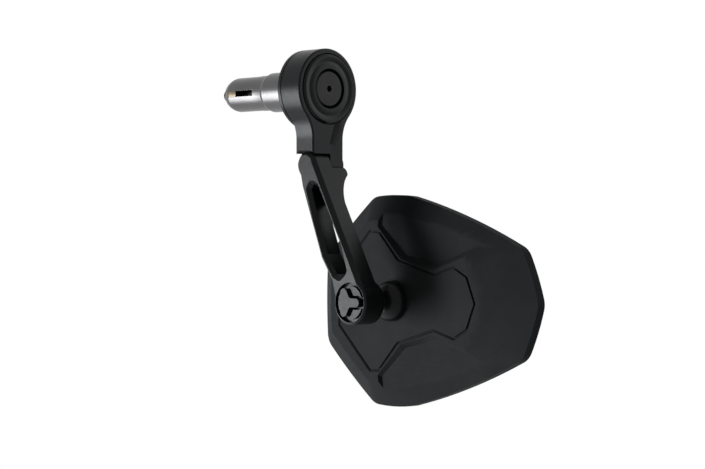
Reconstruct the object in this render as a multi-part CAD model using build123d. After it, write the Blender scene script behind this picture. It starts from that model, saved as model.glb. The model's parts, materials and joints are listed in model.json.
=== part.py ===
from build123d import *
from math import atan2, cos, degrees, radians, sin
import os

# A bar end mirror for the left end of a motorcycle handlebar.
# X runs along the bar and points outwards, Z is up, and the rider sits on the +Y side.
# The origin is on the bar's axis, where the end of the bar meets the plug's shoulder.

# Bar plug
bar_bore_d = 18.0
sleeve_clearance = 0.25
sleeve_length = 24.0
land_clearance = 0.05
land_length = 5.5
nose_length = 7.6
nose_tip_r = 4.0
nose_bulge = 1.1
collar_d = 20.0
collar_length = 25.0
shoulder_length = 2.5
slit_width = 3.0
slit_end_gap = 6.0
spigot_r = 6.0
spigot_length = 8.9

# Expander bolt and cone
bolt_r = 3.0
bolt_clearance = 0.3
bolt_tip_out = 3.0
bolt_head_r = 9.0
bolt_head_proud = 0.6
bolt_socket_af = 3.0
bolt_socket_depth = 3.0
cone_length = 9.0
cone_small_r = 4.2
cone_large_r = 5.2
cone_clearance = 0.05
cone_lip = 3.5
key_clearance = 0.1
key_recess = 0.4

# Head of the upper arm, with its flange and cap
head_r = 20.0
head_depth = 13.0
flange_thickness = 2.3
flange_edge = 0.4
flange_gap = 0.5
head_edge = 0.6
running_gap = 0.06
washer_thickness = 1.0
washer_r = 9.8
washer_room = 0.5
cap_r = 17.25
cap_gap = 0.5
cap_depth = 3.0
cap_proud = 1.0
cap_edge = 0.8
cap_dish_inner_r = 11.6
cap_dish_outer_r = 15.4
cap_dish_depth = 0.6
head_groove = 0.9

# Upper arm
arm_width = 21.0
arm_thickness = 12.0
arm_blend_r = 18.0
arm_edge = 0.7
mark_depth = 1.3
mark_width = 4.0
mark_top = (7.0, -15.0)
mark_bottom = (2.6, -27.6)

# Fold joint
fold_drop = 37.75
fold_out_deg = 25.0
fold_gap = 0.5
lower_lug_r = 6.8
lower_lug_gap = 1.4
lap_y = 1.3
lap_gap = 0.8
fold_screw_r = 2.5
fold_screw_length = 17.5
fold_head_r = 4.4
fold_head_height = 2.6
fold_head_room = 0.3
fold_socket_af = 3.0
fold_socket_depth = 1.6
fold_bush_wall = 0.8
friction_disc_r = 5.0
friction_disc_seat = 0.5
cup_washer_thickness = 0.6

# Lower arm, measured along the line from the fold axis to the boss and across it, outwards
boss_x = 66.0
boss_drop = 105.0
boss_r = 10.8
boss_depth = 13.0
boss_edge = 0.9
rail_bevel = 2.0
rail_start = (1.0, 6.6)
rail_end_gap = 3.0
rail_end_across = 10.2
inner_start = (1.0, -4.0)
inner_shoulder = (9.0, -5.7)
inner_knee = (46.6, -8.2)
inner_waist = (59.5, -6.1)
inner_end_across = -8.0
slot_top = (7.8, 0.8)
slot_top_inner = (10.8, -4.4)
slot_inner = (27.0, -6.3)
slot_knee = (46.0, -7.6)
slot_end_inner = (58.4, -5.6)
slot_end = (62.4, -2.2)
slot_end_outer = (60.4, 4.8)
slot_outer = (45.0, 6.6)
slot_top_outer = (12.6, 4.4)
slot_bevel = 2.0
slot_round = 3.0

# Stop behind the fold joint, as (y, drop below the bar) of its side view
stop_foot_drop = 56.5
stop_waist = (3.2, 49.3)
stop_shoulder = (9.2, 42.8)
stop_peak = (9.9, 41.0)
stop_top = (8.8, 39.0)

# Ball joint
ball_r = 4.75
ball_inset = 3.5
liner_thickness = 1.0
liner_gap = 0.08
neck_r = 3.0
front_liner_from = 54.0
front_liner_to = 80.0
rear_liner_from = 95.0
rear_liner_to = 140.0
plug_thread_r = 9.6
plug_recess = 0.4
plug_face_r = 8.1
plug_ring_drop = 1.8
plug_wall_gap = 0.1
star_reach = 7.6
star_arm_r = 2.1
star_round = 1.6
star_rise = 1.8
moat_width = 1.3
moat_depth = 2.0

# Foot of the ball stud
foot_r = 10.0
foot_edge_height = 1.6
foot_height = 8.0
foot_top_r = 4.4
foot_bulge = 1.6
foot_spigot_r = 4.0
stud_thread_r = 2.2
stud_thread_length = 6.0

# Mirror housing
back_y = 19.0
facet_drop = 6.0
rim_height = 5.0
tip_reach = 88.6
heel_reach = 51.0
heel_half = 21.5
side_half = 51.7
side_from = -17.6
side_to = 7.3
corner_reach = 78.8
corner_half = 25.9
corner_round = 10.0
long_bow = 2.0
short_bow = 0.8
wall = 2.2
floor_thickness = 2.2
facet_scale = 0.765
facet_long = 0.7
facet_centre = -13.7
pocket_scale = 0.8
wing_step = 2.4
wing_rise = 0.7
wing_lean = 0.02
wing_wall_slope = 40.0
wing_depth = 6.0
wing_near = 17.0
wing_far = 43.0
wing_corners = [
    (-7.0, -46.0), (-8.4, -37.5), (7.0, -22.9), (27.0, -18.2), (57.5, -28.2), (64.0, -52.0), (30.0, -70.0),
]
panel_tip = 53.6
panel_corners = [
    (-36.0, -12.5), (-14.8, -34.0), (-9.2, -33.6), (3.4, -20.0), (27.9, -12.7), (40.9, -16.4), (48.6, -12.2),
]
groove_floor = 0.5
groove_slope = 50.0
groove_depth = 0.9
groove_round = 1.6

# Glass and what holds it
glass_thickness = 2.0
glass_recess = 0.3
pad_thickness = 0.8
seal_width = 1.4
plate_r = 11.0
plate_thickness = 1.2
plate_screw_count = 3
plate_screw_circle_r = 6.8
plate_screw_r = 1.25
plate_screw_head_r = 2.3
plate_screw_head = 1.2
plate_screw_depth = 3.0

# Places worked out from the sizes above
sleeve_r = bar_bore_d / 2 - sleeve_clearance
land_r = bar_bore_d / 2 - land_clearance
collar_r = collar_d / 2
nose_x = -sleeve_length
tip_x = nose_x - nose_length
flange_x = collar_length
head_back_x = flange_x + flange_thickness + flange_gap
face_x = head_back_x + head_depth
web_x = flange_x + spigot_length + flange_gap
bolt_seat_x = web_x + washer_thickness
half_width = arm_width / 2
fold_x = face_x - arm_thickness / 2
fold_z = -fold_drop
lug_r = arm_thickness / 2
lower_front_y = -half_width
lower_back_y = lap_y - lap_gap
boss_z = -boss_drop
boss_end_y = lower_front_y + boss_depth
ball_y = boss_end_y - ball_inset
liner_inner_r = ball_r + liner_gap
liner_outer_r = liner_inner_r + liner_thickness
socket_r = liner_outer_r + liner_gap
shoulder_y = back_y + facet_drop
rim_y = shoulder_y + rim_height
glass_y = rim_y - glass_recess - glass_thickness
pad_y = glass_y - pad_thickness
floor_y = back_y + wing_step + floor_thickness


def profile(points):
    """Closed flat face through the given points."""
    return make_face(Polyline(*points, close=True))


def turned_x(points):
    """Solid turned about the bar's axis from (x, radius) points."""
    return revolve(profile(points), axis=Axis.X)


def turned_y(points, x, z):
    """Solid turned about a line along y, at x and z, from (y, radius) points."""
    return Pos(x, 0, z) * revolve(profile([(r, y) for y, r in points]), axis=Axis.Y)


def rod_x(radius, x_from, x_to):
    return turned_x([(x_from, 0), (x_from, radius), (x_to, radius), (x_to, 0)])


def rod_y(radius, y_from, y_to, x, z):
    return Pos(x, (y_from + y_to) / 2, z) * Rot(90, 0, 0) * Cylinder(radius, y_to - y_from)


def plane_y(y):
    """Plane of constant y, seen from the front, with x to the right and z up."""
    return Plane(origin=(0, y, 0), x_dir=(1, 0, 0), z_dir=(0, -1, 0))


def plate_y(face, y_from, y_to):
    """Plate with its outline in x and z."""
    return extrude(plane_y(y_to) * face, amount=y_to - y_from, dir=(0, -1, 0))


def plate_x(face, x_from, x_to):
    """Plate with its outline in y and z."""
    return extrude(Plane.YZ.offset(x_from) * face, amount=x_to - x_from, dir=(1, 0, 0))


def ball(radius):
    return Pos(boss_x, ball_y, boss_z) * Sphere(radius)


# Bar plug: collar, slit sleeve and nose turned from one bar
cone_end_x = nose_x - nose_length + cone_lip
cone_start_x = cone_end_x + cone_length
bore_r = bolt_r + bolt_clearance


def nose_section(inset, end_x):
    """Half section of the sleeve's outer form, from its rounded nose up to end_x."""
    tip = (tip_x, nose_tip_r - inset)
    full = (nose_x, sleeve_r - inset)
    middle = ((tip_x + nose_x) / 2, (nose_tip_r + sleeve_r) / 2 - inset + nose_bulge)
    return make_face([
        Line((tip_x, 0), tip),
        ThreePointArc(tip, middle, full),
        Polyline(full, (end_x, sleeve_r - inset), (end_x, 0)),
        Line((end_x, 0), (tip_x, 0)),
    ])


def make_plug_sleeve():
    jaws = revolve(nose_section(0, -land_length), axis=Axis.X)
    collar = turned_x([
        (-land_length, 0), (-land_length, land_r), (0, land_r), (shoulder_length, collar_r),
        (collar_length, collar_r), (collar_length, spigot_r), (collar_length + spigot_length, spigot_r),
        (collar_length + spigot_length, 0),
    ])
    bore = rod_x(bore_r, tip_x, collar_length + spigot_length)
    seat = turned_x([
        (cone_end_x, 0), (cone_end_x, cone_large_r + cone_clearance),
        (cone_start_x, cone_small_r + cone_clearance), (cone_start_x, 0),
    ])
    slit_length = sleeve_length + nose_length - slit_end_gap
    slit = Pos(tip_x + slit_length / 2, 0, 0) * Box(slit_length, collar_d, slit_width)
    return jaws + collar - bore - seat - slit


def make_expander_cone():
    cone = turned_x([
        (cone_end_x, 0), (cone_end_x, cone_large_r), (cone_start_x, cone_small_r), (cone_start_x, 0),
    ])
    flank = revolve(nose_section(key_recess, cone_start_x), axis=Axis.X)
    key_length = cone_start_x - tip_x
    key = Pos(tip_x + key_length / 2, 0, 0) * Box(key_length, bar_bore_d, slit_width - 2 * key_clearance)
    return cone + (flank & key) - rod_x(bolt_r, tip_x, cone_start_x)


def make_expander_bolt():
    head_top_x = face_x + bolt_head_proud
    bolt = turned_x([
        (tip_x - bolt_tip_out, 0), (tip_x - bolt_tip_out, bolt_r - head_edge),
        (tip_x - bolt_tip_out + head_edge, bolt_r), (bolt_seat_x, bolt_r), (bolt_seat_x, bolt_head_r),
        (head_top_x - head_edge, bolt_head_r), (head_top_x, bolt_head_r - head_edge), (head_top_x, 0),
    ])
    socket = RegularPolygon(bolt_socket_af / 2, 6, major_radius=False)
    return bolt - plate_x(socket, head_top_x - bolt_socket_depth, head_top_x)


def make_bolt_washer():
    return turned_x([(web_x, bolt_r), (web_x, washer_r), (bolt_seat_x, washer_r), (bolt_seat_x, bolt_r)])


def make_backing_flange():
    end_x = flange_x + flange_thickness
    return turned_x([
        (flange_x, spigot_r), (flange_x, head_r - flange_edge), (flange_x + flange_edge, head_r),
        (end_x, head_r), (end_x, spigot_r),
    ])


# Upper arm: a round head with the arm below it, and its cap
def make_upper_arm():
    head = Circle(head_r)
    stem = Pos(0, fold_z / 2) * Rectangle(arm_width, fold_drop)
    outline = head + stem
    corners = [v for v in outline.vertices() if fold_z < v.Y < 0]
    outline = fillet(corners, arm_blend_r)
    arm_back_x = face_x - arm_thickness
    body = plate_x(outline, arm_back_x, face_x) + rod_x(head_r, head_back_x, face_x)
    middles = [(edge, edge.center()) for edge in body.edges()]
    rims = [edge for edge, at in middles if at.X > face_x - arm_edge and at.Z > fold_z + arm_edge]
    body = chamfer(rims, arm_edge)
    body -= rod_y(lower_lug_r + lower_lug_gap, -half_width, lap_y, fold_x, fold_z)
    body += rod_y(lug_r, lap_y, half_width, fold_x, fold_z)
    body -= rod_x(spigot_r + running_gap, head_back_x, web_x)
    body -= rod_x(washer_r + washer_room, web_x, face_x)
    body -= rod_x(cap_r + cap_gap, face_x - cap_depth, face_x)
    body -= make_mark()
    screw_room = rod_y(fold_screw_r + fold_bush_wall, lap_y, half_width, fold_x, fold_z)
    head_room_y = half_width - fold_head_height - cup_washer_thickness
    head_room = rod_y(fold_head_r + fold_head_room, head_room_y, half_width, fold_x, fold_z)
    disc_seat = rod_y(friction_disc_r, lap_y, lap_y + friction_disc_seat, fold_x, fold_z)
    return body - screw_room - head_room - disc_seat


def make_mark():
    """Slanted groove in the arm's front face, deepest along the side nearer the front of the bike."""
    top = Vector(*mark_top)
    bottom = Vector(*mark_bottom)
    length = (bottom - top).length
    lean = degrees(atan2(bottom.X - top.X, top.Y - bottom.Y))
    wedge = profile([(0, -mark_width / 2), (0, mark_width / 2), (-mark_depth, -mark_width / 2)])
    groove = extrude(wedge, amount=length, dir=(0, 0, 1))
    return Pos(face_x, bottom.X, bottom.Y) * Rot(lean, 0, 0) * groove


def make_cap_ring():
    seat_x = face_x - cap_depth
    top_x = face_x + cap_proud
    hole_r = bolt_head_r + head_groove
    dish_mid_r = (cap_dish_inner_r + cap_dish_outer_r) / 2
    return turned_x([
        (seat_x, hole_r), (seat_x, cap_r), (top_x - cap_edge, cap_r), (top_x, cap_r - cap_edge),
        (top_x, cap_dish_outer_r), (top_x - cap_dish_depth, dish_mid_r), (top_x, cap_dish_inner_r),
        (top_x, hole_r),
    ])


# Fold joint
def make_fold_screw():
    head_y = half_width - fold_head_height
    shank = rod_y(fold_screw_r, head_y - fold_screw_length, head_y, fold_x, fold_z)
    head = rod_y(fold_head_r, head_y, half_width, fold_x, fold_z)
    socket = Pos(fold_x, fold_z) * RegularPolygon(fold_socket_af / 2, 6, major_radius=False)
    return shank + head - plate_y(socket, half_width - fold_socket_depth, half_width)


def make_fold_ring(outer_r, inner_r, y_from, y_to):
    ring = rod_y(outer_r, y_from, y_to, fold_x, fold_z)
    return ring - rod_y(inner_r, y_from, y_to, fold_x, fold_z)


# Lower arm: a skeleton plate from the fold joint to the ball's boss
arm_line = Vector(boss_x - fold_x, boss_z - fold_z)
arm_along = arm_line.normalized()
arm_across = arm_along.rotate(Axis.Z, 90)
arm_length = arm_line.length


def on_arm(along, across):
    """Point of the lower arm's outline: along from the fold axis, across towards the outer side."""
    return Vector(fold_x, fold_z) + arm_along * along + arm_across * across


def lower_plate():
    """Side view of the arm between its fold lug and its boss."""
    end = arm_length - rail_end_gap
    return profile([
        on_arm(*rail_start), on_arm(end, rail_end_across), on_arm(end, inner_end_across),
        on_arm(*inner_waist), on_arm(*inner_knee), on_arm(*inner_shoulder), on_arm(*inner_start),
    ])


def slot_mouth():
    corners = [
        slot_top, slot_top_inner, slot_inner, slot_knee, slot_end_inner, slot_end, slot_end_outer,
        slot_outer, slot_top_outer,
    ]
    mouth = profile([on_arm(*corner) for corner in corners])
    return fillet(mouth.vertices(), slot_round)


def stem_room(turn):
    """Space that the upper arm's stem needs beside the lug, with the fold turned outwards."""
    height = 3 * lug_r
    room = Pos(0, (lower_back_y + half_width) / 2, height / 2)
    room *= Box(arm_thickness + 2 * fold_gap, half_width - lower_back_y, height)
    return Pos(fold_x, 0, fold_z) * Rot(0, turn, 0) * room


def stop_side():
    """Side view of the stop that rises behind the fold joint."""
    foot = (lower_back_y, -stop_foot_drop)
    bends = (stop_waist, stop_shoulder, stop_peak, stop_top)
    waist, shoulder, peak, top = [(y, -drop) for y, drop in bends]
    heel = (lower_front_y, foot[1])
    corner = (lower_front_y, top[1])
    return make_face([
        ThreePointArc(foot, waist, shoulder),
        ThreePointArc(shoulder, peak, top),
        Polyline(top, corner, heel, foot),
    ])


def outwards(edge):
    """How far an edge's middle lies towards the outer side of the arm."""
    place = edge.center()
    return place.X * arm_across.X + place.Z * arm_across.Y


def make_lower_arm():
    outline = lower_plate()
    body = plate_y(outline, lower_front_y, lower_back_y)
    front_edges = body.faces().sort_by(Axis.Y)[0].edges()
    body = chamfer(max(front_edges, key=outwards), rail_bevel)
    body += turned_y([
        (lower_front_y, 0), (lower_front_y, lower_lug_r - rail_bevel),
        (lower_front_y + rail_bevel, lower_lug_r), (lower_back_y, lower_lug_r), (lower_back_y, 0),
    ], fold_x, fold_z)
    stop = plate_y(outline, lower_front_y + rail_bevel, half_width)
    stop &= plate_x(stop_side(), fold_x, boss_x)
    stop -= rod_y(lug_r + fold_gap, lower_back_y, half_width, fold_x, fold_z)
    for share in (0.0, 0.5, 1.0):
        stop -= stem_room(fold_out_deg * share)
    body += stop
    body += turned_y([
        (lower_front_y, 0), (lower_front_y, boss_r - boss_edge), (lower_front_y + boss_edge, boss_r),
        (boss_end_y, boss_r), (boss_end_y, 0),
    ], boss_x, boss_z)
    mouth = slot_mouth()
    window = offset(mouth, -slot_bevel)
    mouth_faces = [plane_y(lower_front_y) * mouth, plane_y(lower_front_y + slot_bevel) * window]
    body -= loft(mouth_faces, ruled=True)
    body -= plate_y(window, lower_front_y, lower_back_y)
    screw_end_y = half_width - fold_head_height - fold_screw_length
    body -= rod_y(fold_screw_r, screw_end_y, lower_back_y, fold_x, fold_z)
    body -= rod_y(plug_thread_r + plug_wall_gap, lower_front_y, ball_y - liner_thickness, boss_x, boss_z)
    body -= ball(socket_r)
    return body


# Ball joint: a ball on a stud, held between two cups by a plug
def liner_cup(from_deg, to_deg):
    """Spherical zone between two angles from the joint's axis."""
    inner_from = (liner_inner_r * sin(radians(from_deg)), liner_inner_r * cos(radians(from_deg)))
    outer_from = (liner_outer_r * sin(radians(from_deg)), liner_outer_r * cos(radians(from_deg)))
    inner_to = (liner_inner_r * sin(radians(to_deg)), liner_inner_r * cos(radians(to_deg)))
    outer_to = (liner_outer_r * sin(radians(to_deg)), liner_outer_r * cos(radians(to_deg)))
    section = make_face([
        Line(inner_from, outer_from),
        RadiusArc(outer_from, outer_to, liner_outer_r),
        Line(outer_to, inner_to),
        RadiusArc(inner_to, inner_from, -liner_inner_r),
    ])
    return Pos(boss_x, ball_y, boss_z) * revolve(section, axis=Axis.Y)


def three_armed_star():
    run = star_reach - star_arm_r
    arm = Pos(run / 2, 0) * SlotCenterToCenter(run, 2 * star_arm_r)
    star = arm + Rot(0, 0, 120) * arm + Rot(0, 0, 240) * arm
    crotches = [v for v in star.vertices() if Vector(*v).length < 2 * star_arm_r]
    return fillet(crotches, star_round)


def make_tension_plug():
    """Plug that sets the ball's friction, with a raised star for the fingers in a sunk moat."""
    top_y = lower_front_y + plug_recess
    end_y = ball_y - liner_thickness - plug_wall_gap
    plug = turned_y([
        (top_y, 0), (top_y, plug_face_r), (top_y + plug_ring_drop, plug_face_r),
        (top_y + plug_ring_drop, plug_thread_r), (end_y, plug_thread_r), (end_y, 0),
    ], boss_x, boss_z)
    star = Pos(boss_x, boss_z) * three_armed_star()
    moat = offset(star, moat_width) - star
    plug -= plate_y(moat, top_y, top_y + moat_depth)
    plug += plate_y(star, top_y - star_rise, top_y + moat_depth)
    return plug - ball(socket_r)


def make_ball_stud():
    foot_top_y = back_y - foot_height
    neck = rod_y(neck_r, ball_y, foot_top_y, boss_x, boss_z)
    thread = rod_y(stud_thread_r, foot_top_y, foot_top_y + stud_thread_length, boss_x, boss_z)
    return ball(ball_r) + neck + thread


def make_stud_foot():
    foot_top_y = back_y - foot_height
    edge_y = back_y - foot_edge_height
    middle = ((foot_top_r + foot_r) / 2 + foot_bulge, (foot_top_y + edge_y) / 2)
    section = make_face([
        Line((0, foot_top_y), (foot_top_r, foot_top_y)),
        ThreePointArc((foot_top_r, foot_top_y), middle, (foot_r, edge_y)),
        Polyline(
            (foot_r, edge_y), (foot_r, back_y), (foot_spigot_r, back_y), (foot_spigot_r, floor_y),
            (0, floor_y), (0, foot_top_y),
        ),
    ])
    foot = Pos(boss_x, 0, boss_z) * revolve(section, axis=Axis.Y)
    foot -= rod_y(stud_thread_r, foot_top_y, foot_top_y + stud_thread_length, boss_x, boss_z)
    for x, z in screw_places():
        foot -= rod_y(plate_screw_r, back_y - plate_screw_depth, back_y, x, z)
    return foot


def screw_places():
    turns = [radians(90 + 360 * index / plate_screw_count) for index in range(plate_screw_count)]
    circle_r = plate_screw_circle_r
    return [(boss_x + circle_r * cos(turn), boss_z + circle_r * sin(turn)) for turn in turns]


# Mirror head: a faceted shell that carries the glass
def at_stud(face):
    return Pos(boss_x, boss_z) * face


def bowed(start, end, bow):
    """Side of the outline from start to end, bowed outwards, for points that run anticlockwise."""
    middle = (Vector(*start) + Vector(*end)) / 2
    out = (Vector(*end) - Vector(*start)).normalized().rotate(Axis.Z, -90)
    return ThreePointArc(start, middle + out * bow, end)


def mirror_outline(share=1.0, long_share=1.0):
    """Outline about the stud, or one like it whose heel and sides, and long end, are drawn in."""
    lower = [
        (-heel_reach, -heel_half), (side_from, -side_half), (side_to, -side_half),
        (corner_reach, -corner_half), (tip_reach, 0),
    ]
    lower = [
        (facet_centre + (across - facet_centre) * (share if across < facet_centre else long_share),
         up * share)
        for across, up in lower
    ]
    corners = lower + [(across, -up) for across, up in reversed(lower[:-1])]
    bows = [short_bow, short_bow, long_bow, short_bow, short_bow, long_bow, short_bow, short_bow, short_bow]
    ends = corners[1:] + corners[:1]
    sides = [bowed(start, end, bow * share) for start, end, bow in zip(corners, ends, bows)]
    outline = make_face(sides)
    return fillet(outline.vertices(), corner_round * share)


def drawn_in(face, inset):
    """Outline drawn in by the same amount all round; its sides and corners are all arcs."""
    sides = []
    for side in face.edges():
        centre = side.arc_center
        step = (centre - side @ 0.5).normalized() * inset
        share = 1 - (inset if face.is_inside(side @ 0.5 + step) else -inset) / side.radius
        sides.append(ThreePointArc(*[centre + (side @ at - centre) * share for at in (0, 0.5, 1)]))
    return make_face(sides)


def shrunk(face, share):
    return Pos(facet_centre, 0) * scale(Pos(-facet_centre, 0) * face, share)


def panel_outline():
    """Border of the centre panel: a heel with two legs, a neck and a broad end."""
    upper = [(across, -up) for across, up in reversed(panel_corners)]
    return profile(panel_corners + [(panel_tip, 0)] + upper)


def panel_groove():
    """Groove round the centre panel, upright on the panel's side and sloping on the other."""
    panel = panel_outline()
    bed = plane_y(back_y + groove_depth) * at_stud(offset(panel, groove_floor, kind=Kind.INTERSECTION))
    trench = extrude(bed, amount=groove_depth, dir=(0, -1, 0), taper=-groove_slope)
    middle = fillet(panel.vertices(), groove_round)
    return trench - plate_y(at_stud(middle), back_y, back_y + groove_depth)


def wing_cut():
    """Lowered wing below the centre panel, with sloping walls and a floor that runs out at the side."""
    tilt = Vector(wing_lean, -1, wing_rise / (wing_far - wing_near)).normalized()
    floor = Plane(
        origin=(boss_x, back_y + wing_step, boss_z - wing_near), x_dir=(1, 0, 0), z_dir=tilt,
    )
    face = profile([(across, up + wing_near) for across, up in wing_corners])
    return extrude(floor * face, amount=wing_depth, dir=tilt, taper=-wing_wall_slope)


def make_mirror_housing():
    outline = mirror_outline()
    plateau = mirror_outline(facet_scale, facet_long)
    shell = plate_y(at_stud(outline), shoulder_y, rim_y)
    back_faces = [plane_y(shoulder_y) * at_stud(outline), plane_y(back_y) * at_stud(plateau)]
    shell += loft(back_faces, ruled=True)
    wing = wing_cut()
    shell -= wing
    shell -= mirror(wing, Plane.XY.offset(boss_z))
    shell -= panel_groove()
    shell -= plate_y(at_stud(drawn_in(outline, wall)), pad_y, rim_y)
    shell -= plate_y(at_stud(shrunk(outline, pocket_scale)), floor_y, pad_y)
    shell -= rod_y(foot_spigot_r, back_y, floor_y, boss_x, boss_z)
    for x, z in screw_places():
        shell -= rod_y(plate_screw_r, back_y, floor_y, x, z)
    return shell


def glass_outline():
    return drawn_in(mirror_outline(), wall + seal_width)


def make_mirror_glass():
    return plate_y(at_stud(glass_outline()), glass_y, glass_y + glass_thickness)


def make_glass_pad():
    return plate_y(at_stud(glass_outline()), pad_y, glass_y)


def make_rim_seal():
    ring = drawn_in(mirror_outline(), wall) - glass_outline()
    return plate_y(at_stud(ring), pad_y, rim_y)


def make_stud_plate():
    plate = rod_y(plate_r, floor_y, floor_y + plate_thickness, boss_x, boss_z)
    for x, z in screw_places():
        plate -= rod_y(plate_screw_r, floor_y, floor_y + plate_thickness, x, z)
    return plate


def make_stud_screws():
    head_y = floor_y + plate_thickness
    screws = []
    for x, z in screw_places():
        shank = rod_y(plate_screw_r, back_y - plate_screw_depth, head_y, x, z)
        screws.append(shank + rod_y(plate_screw_head_r, head_y, head_y + plate_screw_head, x, z))
    return Compound(children=screws)


pieces = {
    "plug_sleeve": make_plug_sleeve(),
    "expander_cone": make_expander_cone(),
    "expander_bolt": make_expander_bolt(),
    "bolt_washer": make_bolt_washer(),
    "backing_flange": make_backing_flange(),
    "upper_arm": make_upper_arm(),
    "cap_ring": make_cap_ring(),
    "fold_screw": make_fold_screw(),
    "fold_bush": make_fold_ring(
        fold_screw_r + fold_bush_wall, fold_screw_r + running_gap,
        lap_y + friction_disc_seat, half_width - fold_head_height - cup_washer_thickness,
    ),
    "friction_disc": make_fold_ring(
        friction_disc_r, fold_screw_r + running_gap, lower_back_y, lap_y + friction_disc_seat,
    ),
    "cup_washer": make_fold_ring(
        fold_head_r, fold_screw_r, half_width - fold_head_height - cup_washer_thickness,
        half_width - fold_head_height,
    ),
    "lower_arm": make_lower_arm(),
    "tension_plug": make_tension_plug(),
    "front_liner": liner_cup(front_liner_from, front_liner_to),
    "rear_liner": liner_cup(rear_liner_from, rear_liner_to),
    "ball_stud": make_ball_stud(),
    "stud_foot": make_stud_foot(),
    "mirror_housing": make_mirror_housing(),
    "stud_plate": make_stud_plate(),
    "stud_screws": make_stud_screws(),
    "glass_pad": make_glass_pad(),
    "mirror_glass": make_mirror_glass(),
    "rim_seal": make_rim_seal(),
}

os.makedirs("parts", exist_ok=True)
for name, shape in pieces.items():
    export_step(shape, f"parts/{name}.step")
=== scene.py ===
import json
from math import radians

import bpy
from mathutils import Matrix, Vector


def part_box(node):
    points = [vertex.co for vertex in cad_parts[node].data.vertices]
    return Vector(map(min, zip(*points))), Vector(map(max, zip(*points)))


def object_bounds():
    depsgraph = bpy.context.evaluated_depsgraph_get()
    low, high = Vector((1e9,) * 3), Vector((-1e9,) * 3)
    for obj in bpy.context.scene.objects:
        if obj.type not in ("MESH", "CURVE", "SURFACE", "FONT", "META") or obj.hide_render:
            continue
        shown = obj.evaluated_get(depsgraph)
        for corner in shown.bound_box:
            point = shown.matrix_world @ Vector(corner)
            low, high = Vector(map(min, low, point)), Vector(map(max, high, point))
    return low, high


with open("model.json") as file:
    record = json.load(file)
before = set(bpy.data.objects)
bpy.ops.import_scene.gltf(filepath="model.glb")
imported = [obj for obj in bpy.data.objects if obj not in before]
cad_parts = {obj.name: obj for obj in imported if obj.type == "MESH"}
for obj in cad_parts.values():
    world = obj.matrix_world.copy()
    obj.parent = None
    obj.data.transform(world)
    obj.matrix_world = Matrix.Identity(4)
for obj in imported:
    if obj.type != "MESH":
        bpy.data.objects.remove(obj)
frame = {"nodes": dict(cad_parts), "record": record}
cad_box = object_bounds()
nodes = frame["nodes"]
slots = {row["node"]: row["material_slot"] for row in frame["record"]["subparts"]}

MM = 0.001

# The photograph's view: the head's offset runs right and down from the middle of the picture
PHOTO_WIDTH_PX = 705.0
FOCAL_PX = 2000.0
PX_PER_MM = 2.02
HEAD_OFFSET_PX = (-24.0, -145.7)
VIEW_AZIMUTH_DEG = 45.0
LEVEL_DEG = 90.0
SENSOR_MM = 36.0
CLIP_END = 50.0

# Floor and surroundings, lengths in metres
FLOOR_SIZE = 4.0
FLOOR_GAP = 0.65
FLOOR_GREY = 0.90
FLOOR_ROUGH = 0.8
FLOOR_GLOW = 0.86
WORLD_LIGHT = 0.11
WHITE = (1.0, 1.0, 1.0, 1.0)

# Soft boxes: place and size in metres, power in watts
LAMP_AIM = (0.06, 0.0, -0.08)
SOFT_BOXES = {
    "key": ((-0.58, -0.73, -0.32), (0.28, 0.66), 11.2),
    "left": ((-0.75, -0.62, -0.38), (0.24, 0.5), 3.0),
    "right": ((0.62, 0.78, 0.26), (0.8, 0.8), 2.7),
}

# Edges of the solids
WELD_DISTANCE = 0.5e-6
SHARP_DEG = 24.0
EDGE_SEGMENTS = 2
EDGE_WIDTH_MM = {
    "upper_arm": 0.28, "lower_arm": 0.30, "cap_ring": 0.15, "tension_plug": 0.20, "mirror_housing": 0.35,
    "backing_flange": 0.12, "plug_sleeve": 0.10, "stud_foot": 0.20, "expander_bolt": 0.12,
}

# Pieces whose flats run softly into their curves
BLENDED = ("upper_arm",)

# Noise: its roughness and detail, the part of its range that is used, and its stretch along the axes
NOISE_ROUGH = 0.55
NOISE_DETAIL = 3.0
FINE_DETAIL = 2.0
LINE_DETAIL = 1.0
RAMP_ENDS = (0.3, 0.7)
SPREAD_ENDS = (0.25, 0.75)
EVEN = (1.0, 1.0, 1.0)
ALONG_X = (1.0, 0.0, 0.0)
ALONG_Y = (0.0, 1.0, 0.0)

# Tint of the black pieces
COOL = -0.06
COOL_SHEEN = (0.94, 0.965, 1.0, 1.0)

# In the materials below, a scale is per metre and a relief is a depth in millimetres and a strength

# Black anodised aluminium
ANODISED_GREYS = (0.0085, 0.0128)
ANODISED_ROUGH = (0.27, 0.34)
ANODISED_SHEEN = 0.105
ANODISED_CLOUD_SCALE = 60.0
ANODISED_PATCH_SCALE = 340.0
ANODISED_GRAIN_SCALE = 5200.0
ANODISED_RELIEF = (0.012, 0.4)

# Moulded shell, with fine lines on the sunk wings: they set in along Y and end along X, in metres
MOULDED_GREYS = (0.0202, 0.0253)
MOULDED_ROUGH = (0.52, 0.60)
MOULDED_SHEEN = 0.02
MOULDED_CLOUD_SCALE = 45.0
MOULDED_PATCH_SCALE = 260.0
MOULDED_GRAIN_SCALE = 4200.0
MOULDED_RELIEF = (0.010, 0.5)
LINE_SCALE = 850.0
LINE_STRETCH = (0.03, 0.0, 1.0)
LINE_RELIEF = (0.12, 0.8)
WING_FLOOR_Y = (0.0198, 0.0204)
WING_END_X = (0.118, 0.108)

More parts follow.
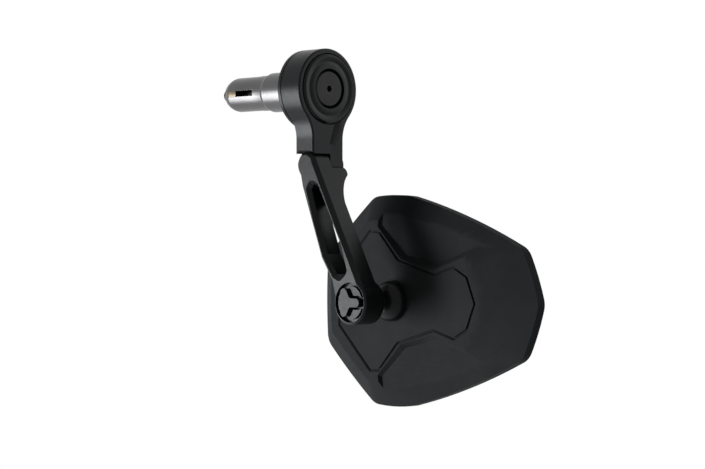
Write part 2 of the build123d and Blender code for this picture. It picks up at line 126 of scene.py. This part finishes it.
# Bare metals: darker and lighter colour, least and most roughness, axis they were turned on
TURNED_METALS = {
    "turned_aluminium": (((0.092, 0.092, 0.095), (0.102, 0.102, 0.105)), (0.28, 0.36), ALONG_X),
    "dark_steel": (((0.014, 0.014, 0.0145), (0.018, 0.018, 0.0185)), (0.32, 0.42), ALONG_X),
    "bright_steel": (((0.10, 0.10, 0.104), (0.13, 0.13, 0.134)), (0.25, 0.36), ALONG_Y),
    "brass": (((0.112, 0.094, 0.068), (0.134, 0.113, 0.083)), (0.30, 0.42), ALONG_X),
}
TURNED_CLOUD_SCALE = 90.0
TURNED_RING_SCALE = 3200.0
TURNED_RELIEF = (0.004, 0.6)

# Rubber
RUBBER_GREYS = (0.012, 0.0168)
RUBBER_ROUGH = (0.65, 0.78)
RUBBER_CLOUD_SCALE = 120.0
RUBBER_PATCH_SCALE = 500.0
RUBBER_GRAIN_SCALE = 1800.0
RUBBER_RELIEF = (0.02, 0.5)

# Nylon
NYLON_COLOURS = ((0.62, 0.59, 0.51), (0.70, 0.67, 0.60))
NYLON_ROUGH = (0.42, 0.52)
NYLON_CLOUD_SCALE = 150.0
NYLON_PATCH_SCALE = 700.0
NYLON_GRAIN_SCALE = 2400.0
NYLON_RELIEF = (0.01, 0.4)

# Mirror glass
GLASS_COLOURS = ((0.80, 0.83, 0.86), (0.83, 0.86, 0.88))
GLASS_ROUGH = (0.015, 0.03)
GLASS_COAT_ROUGH = 0.01
GLASS_CLOUD_SCALE = 12.0
GLASS_PATCH_SCALE = 30.0


def node_material(name):
    """New material with its output and a Principled shader."""
    material = bpy.data.materials.new(name)
    material.use_nodes = True
    tree = material.node_tree
    tree.nodes.clear()
    output = tree.nodes.new("ShaderNodeOutputMaterial")
    shader = tree.nodes.new("ShaderNodeBsdfPrincipled")
    tree.links.new(shader.outputs["BSDF"], output.inputs["Surface"])
    return material, tree, shader


def noise(tree, scale, detail=NOISE_DETAIL, stretch=EVEN):
    """Noise in the object's own metres, stretched along the axes."""
    place = tree.nodes.new("ShaderNodeTexCoord")
    mapping = tree.nodes.new("ShaderNodeMapping")
    mapping.inputs["Scale"].default_value = stretch
    texture = tree.nodes.new("ShaderNodeTexNoise")
    texture.inputs["Scale"].default_value = scale
    texture.inputs["Detail"].default_value = detail
    texture.inputs["Roughness"].default_value = NOISE_ROUGH
    tree.links.new(place.outputs["Object"], mapping.inputs["Vector"])
    tree.links.new(mapping.outputs["Vector"], texture.inputs["Vector"])
    return texture.outputs["Fac"]


def ramp(tree, source, colours):
    """Colour ramp between two colours."""
    node = tree.nodes.new("ShaderNodeValToRGB")
    for element, position, colour in zip(node.color_ramp.elements, RAMP_ENDS, colours):
        element.position = position
        element.color = (*colour, 1.0)
    tree.links.new(source, node.inputs["Fac"])
    return node.outputs["Color"]


def greys(values, warm=0.0):
    """Colours of some grey values, warmer above zero and cooler below it."""
    return [(value * (1.0 + warm), value, value * (1.0 - warm)) for value in values]


def spread(tree, source, limits):
    """Maps a noise value to a range."""
    node = tree.nodes.new("ShaderNodeMapRange")
    node.inputs["From Min"].default_value, node.inputs["From Max"].default_value = SPREAD_ENDS
    node.inputs["To Min"].default_value, node.inputs["To Max"].default_value = limits
    tree.links.new(source, node.inputs["Value"])
    return node.outputs["Result"]


def bump(tree, height, relief, below=None):
    """Bumps of a given relief, on top of other bumps where there are any below."""
    depth_mm, strength = relief
    node = tree.nodes.new("ShaderNodeBump")
    node.inputs["Strength"].default_value = strength
    node.inputs["Distance"].default_value = depth_mm * MM
    tree.links.new(height, node.inputs["Height"])
    if below is not None:
        tree.links.new(below, node.inputs["Normal"])
    return node.outputs["Normal"]


def within(tree, source, ends):
    """Zero at the first of two ends and beyond it, one at the other, and even between them."""
    node = tree.nodes.new("ShaderNodeMapRange")
    node.inputs["From Min"].default_value, node.inputs["From Max"].default_value = ends
    tree.links.new(source, node.inputs["Value"])
    return node.outputs["Result"]


def black_anodised():
    """Bead-blasted, black anodised aluminium with a satin sheen."""
    material, tree, shader = node_material("black_anodised")
    cloud = noise(tree, ANODISED_CLOUD_SCALE)
    patch = noise(tree, ANODISED_PATCH_SCALE)
    grain = noise(tree, ANODISED_GRAIN_SCALE, FINE_DETAIL)
    tree.links.new(ramp(tree, cloud, greys(ANODISED_GREYS, COOL)), shader.inputs["Base Color"])
    tree.links.new(spread(tree, patch, ANODISED_ROUGH), shader.inputs["Roughness"])
    tree.links.new(bump(tree, grain, ANODISED_RELIEF), shader.inputs["Normal"])
    shader.inputs["Specular IOR Level"].default_value = ANODISED_SHEEN
    shader.inputs["Specular Tint"].default_value = COOL_SHEEN
    return material


def lined_wings(tree, lines):
    """Keeps the lines where the shell's back is sunk, short of its long end."""
    place = tree.nodes.new("ShaderNodeTexCoord")
    axes = tree.nodes.new("ShaderNodeSeparateXYZ")
    tree.links.new(place.outputs["Object"], axes.inputs["Vector"])
    kept = lines
    for axis, ends in (("Y", WING_FLOOR_Y), ("X", WING_END_X)):
        product = tree.nodes.new("ShaderNodeMath")
        product.operation = "MULTIPLY"
        tree.links.new(kept, product.inputs[0])
        tree.links.new(within(tree, axes.outputs[axis], ends), product.inputs[1])
        kept = product.outputs["Value"]
    return kept


def moulded_black():
    """Moulded black shell with a fine grain and faint drawn lines."""
    material, tree, shader = node_material("moulded_black")
    cloud = noise(tree, MOULDED_CLOUD_SCALE)
    patch = noise(tree, MOULDED_PATCH_SCALE)
    grain = noise(tree, MOULDED_GRAIN_SCALE, FINE_DETAIL)
    lines = lined_wings(tree, noise(tree, LINE_SCALE, LINE_DETAIL, LINE_STRETCH))
    tree.links.new(ramp(tree, cloud, greys(MOULDED_GREYS, COOL)), shader.inputs["Base Color"])
    tree.links.new(spread(tree, patch, MOULDED_ROUGH), shader.inputs["Roughness"])
    lined = bump(tree, lines, LINE_RELIEF)
    tree.links.new(bump(tree, grain, MOULDED_RELIEF, lined), shader.inputs["Normal"])
    shader.inputs["Specular IOR Level"].default_value = MOULDED_SHEEN
    shader.inputs["Specular Tint"].default_value = COOL_SHEEN
    return material


def turned_metal(name):
    """Bare metal with fine turning rings round one axis."""
    colours, rough, axis = TURNED_METALS[name]
    material, tree, shader = node_material(name)
    cloud = noise(tree, TURNED_CLOUD_SCALE)
    rings = noise(tree, TURNED_RING_SCALE, FINE_DETAIL, axis)
    tree.links.new(ramp(tree, cloud, colours), shader.inputs["Base Color"])
    tree.links.new(spread(tree, rings, rough), shader.inputs["Roughness"])
    tree.links.new(bump(tree, rings, TURNED_RELIEF), shader.inputs["Normal"])
    shader.inputs["Metallic"].default_value = 1.0
    return material


def rubber():
    """Black rubber with a dull, slightly uneven skin."""
    material, tree, shader = node_material("rubber")
    cloud = noise(tree, RUBBER_CLOUD_SCALE)
    patch = noise(tree, RUBBER_PATCH_SCALE)
    grain = noise(tree, RUBBER_GRAIN_SCALE)
    tree.links.new(ramp(tree, cloud, greys(RUBBER_GREYS)), shader.inputs["Base Color"])
    tree.links.new(spread(tree, patch, RUBBER_ROUGH), shader.inputs["Roughness"])
    tree.links.new(bump(tree, grain, RUBBER_RELIEF), shader.inputs["Normal"])
    return material


def nylon():
    """Pale moulded nylon."""
    material, tree, shader = node_material("nylon")
    cloud = noise(tree, NYLON_CLOUD_SCALE)
    patch = noise(tree, NYLON_PATCH_SCALE)
    grain = noise(tree, NYLON_GRAIN_SCALE)
    tree.links.new(ramp(tree, cloud, NYLON_COLOURS), shader.inputs["Base Color"])
    tree.links.new(spread(tree, patch, NYLON_ROUGH), shader.inputs["Roughness"])
    tree.links.new(bump(tree, grain, NYLON_RELIEF), shader.inputs["Normal"])
    return material


def silvered_glass():
    """Mirror glass: a silvered layer under clear glass, very slightly uneven."""
    material, tree, shader = node_material("silvered_glass")
    cloud = noise(tree, GLASS_CLOUD_SCALE)
    patch = noise(tree, GLASS_PATCH_SCALE)
    tree.links.new(ramp(tree, cloud, GLASS_COLOURS), shader.inputs["Base Color"])
    tree.links.new(spread(tree, patch, GLASS_ROUGH), shader.inputs["Roughness"])
    shader.inputs["Metallic"].default_value = 1.0
    shader.inputs["Coat Weight"].default_value = 1.0
    shader.inputs["Coat Roughness"].default_value = GLASS_COAT_ROUGH
    return material


def edge_group(name, weld):
    """Geometry nodes that shade smooth below an angle, and weld split corners first if asked to."""
    group = bpy.data.node_groups.new(name, "GeometryNodeTree")
    group.interface.new_socket("Geometry", in_out="INPUT", socket_type="NodeSocketGeometry")
    group.interface.new_socket("Geometry", in_out="OUTPUT", socket_type="NodeSocketGeometry")
    start = group.nodes.new("NodeGroupInput")
    end = group.nodes.new("NodeGroupOutput")
    flow = start.outputs["Geometry"]
    if weld:
        merge = group.nodes.new("GeometryNodeMergeByDistance")
        merge.inputs["Distance"].default_value = WELD_DISTANCE
        group.links.new(flow, merge.inputs["Geometry"])
        plain = group.nodes.new("GeometryNodeRemoveAttribute")
        plain.inputs["Name"].default_value = "custom_normal"
        group.links.new(merge.outputs["Geometry"], plain.inputs["Geometry"])
        flow = plain.outputs["Geometry"]
    faces = group.nodes.new("GeometryNodeSetShadeSmooth")
    faces.domain = "FACE"
    faces.inputs["Shade Smooth"].default_value = True
    group.links.new(flow, faces.inputs["Geometry"])
    angle = group.nodes.new("GeometryNodeInputMeshEdgeAngle")
    above = group.nodes.new("FunctionNodeCompare")
    above.operation = "GREATER_THAN"
    above.inputs["B"].default_value = radians(SHARP_DEG)
    group.links.new(angle.outputs["Unsigned Angle"], above.inputs["A"])
    edges = group.nodes.new("GeometryNodeSetShadeSmooth")
    edges.domain = "EDGE"
    edges.inputs["Shade Smooth"].default_value = False
    group.links.new(faces.outputs["Geometry"], edges.inputs["Geometry"])
    group.links.new(above.outputs["Result"], edges.inputs["Selection"])
    group.links.new(edges.outputs["Geometry"], end.inputs["Geometry"])
    return group


def finish_node(name, materials, weld_group, smooth_group):
    """Gives a solid its material, soft edges and smooth shading."""
    solid = nodes[name]
    solid.data.materials.clear()
    solid.data.materials.append(materials[slots[name]])
    weld = solid.modifiers.new("weld", "NODES")
    weld.node_group = weld_group
    if name in EDGE_WIDTH_MM:
        edge = solid.modifiers.new("edges", "BEVEL")
        edge.width = EDGE_WIDTH_MM[name] * MM
        edge.segments = EDGE_SEGMENTS
        edge.limit_method = "ANGLE"
        edge.angle_limit = radians(SHARP_DEG)
        smooth = solid.modifiers.new("smooth", "NODES")
        smooth.node_group = smooth_group
    if name not in BLENDED:
        even = solid.modifiers.new("normals", "WEIGHTED_NORMAL")
        even.keep_sharp = True


def place_camera():
    """Level camera that sees the head's face where the photograph has it."""
    face_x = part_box("upper_arm")[1].x
    turn = Matrix.Rotation(radians(VIEW_AZIMUTH_DEG), 3, "Z")
    back = turn @ Vector((0.0, -1.0, 0.0))
    right = turn @ Vector((1.0, 0.0, 0.0))
    metres_per_px = MM / PX_PER_MM
    distance = FOCAL_PX * metres_per_px
    across, down = HEAD_OFFSET_PX
    spot = Vector((face_x, 0.0, 0.0)) + back * distance - right * across * metres_per_px
    spot.z += down * metres_per_px
    data = bpy.data.cameras.new("camera")
    data.sensor_width = SENSOR_MM
    data.lens = FOCAL_PX * SENSOR_MM / PHOTO_WIDTH_PX
    data.clip_end = CLIP_END
    camera = bpy.data.objects.new("camera", data)
    camera.rotation_euler = (radians(LEVEL_DEG), 0.0, radians(VIEW_AZIMUTH_DEG))
    camera.location = spot
    bpy.context.scene.collection.objects.link(camera)
    bpy.context.scene.camera = camera


def straight_rays(tree):
    """One for rays that show the background itself: the camera's, reflected and transmitted ones."""
    path = tree.nodes.new("ShaderNodeLightPath")
    seen = path.outputs["Is Camera Ray"]
    for kind in ("Is Glossy Ray", "Is Transmission Ray"):
        either = tree.nodes.new("ShaderNodeMath")
        either.operation = "MAXIMUM"
        tree.links.new(seen, either.inputs[0])
        tree.links.new(path.outputs[kind], either.inputs[1])
        seen = either.outputs["Value"]
    return seen


def add_floor():
    """White floor below the part."""
    lowest = cad_box[0][2]
    half = FLOOR_SIZE / 2
    corners = [(-half, -half, 0), (half, -half, 0), (half, half, 0), (-half, half, 0)]
    mesh = bpy.data.meshes.new("floor")
    mesh.from_pydata(corners, [], [(0, 1, 2, 3)])
    floor = bpy.data.objects.new("floor", mesh)
    floor.location = (0.0, 0.0, lowest - FLOOR_GAP)
    bpy.context.scene.collection.objects.link(floor)
    material, tree, shader = node_material("floor_white")
    shader.inputs["Base Color"].default_value = (FLOOR_GREY, FLOOR_GREY, FLOOR_GREY, 1.0)
    shader.inputs["Roughness"].default_value = FLOOR_ROUGH
    glow = tree.nodes.new("ShaderNodeMapRange")
    glow.inputs["To Max"].default_value = FLOOR_GLOW
    tree.links.new(straight_rays(tree), glow.inputs["Value"])
    shader.inputs["Emission Color"].default_value = WHITE
    tree.links.new(glow.outputs["Result"], shader.inputs["Emission Strength"])
    mesh.materials.append(material)


def white_world():
    """Surroundings that are seen and reflected as white, and light the part faintly."""
    world = bpy.data.worlds.new("world")
    world.use_nodes = True
    tree = world.node_tree
    tree.nodes.clear()
    output = tree.nodes.new("ShaderNodeOutputWorld")
    background = tree.nodes.new("ShaderNodeBackground")
    strength = tree.nodes.new("ShaderNodeMapRange")
    strength.inputs["To Min"].default_value = WORLD_LIGHT
    strength.inputs["To Max"].default_value = 1.0
    tree.links.new(straight_rays(tree), strength.inputs["Value"])
    tree.links.new(strength.outputs["Result"], background.inputs["Strength"])
    background.inputs["Color"].default_value = WHITE
    tree.links.new(background.outputs["Background"], output.inputs["Surface"])
    bpy.context.scene.world = world


def soft_box(name, place, size, power):
    """Rectangular lamp that faces the part."""
    data = bpy.data.lights.new(name, "AREA")
    data.shape = "RECTANGLE"
    data.size, data.size_y = size
    data.energy = power
    lamp = bpy.data.objects.new(name, data)
    lamp.location = place
    lamp.rotation_euler = (Vector(LAMP_AIM) - Vector(place)).to_track_quat("-Z", "Y").to_euler()
    bpy.context.scene.collection.objects.link(lamp)


materials_by_slot = {
    "turned_aluminium": turned_metal("turned_aluminium"),
    "black_anodised": black_anodised(),
    "dark_steel": turned_metal("dark_steel"),
    "bright_steel": turned_metal("bright_steel"),
    "brass": turned_metal("brass"),
    "black_plastic": moulded_black(),
    "pale_nylon": nylon(),
    "rubber": rubber(),
    "mirror": silvered_glass(),
}
weld_corners = edge_group("weld_corners", True)
smooth_by_angle = edge_group("smooth_by_angle", False)
for node_name in nodes:
    finish_node(node_name, materials_by_slot, weld_corners, smooth_by_angle)

place_camera()
add_floor()
white_world()
for lamp_name, (lamp_place, lamp_size, lamp_power) in SOFT_BOXES.items():
    soft_box(lamp_name, lamp_place, lamp_size, lamp_power)

bpy.context.scene.view_settings.view_transform = "Standard"
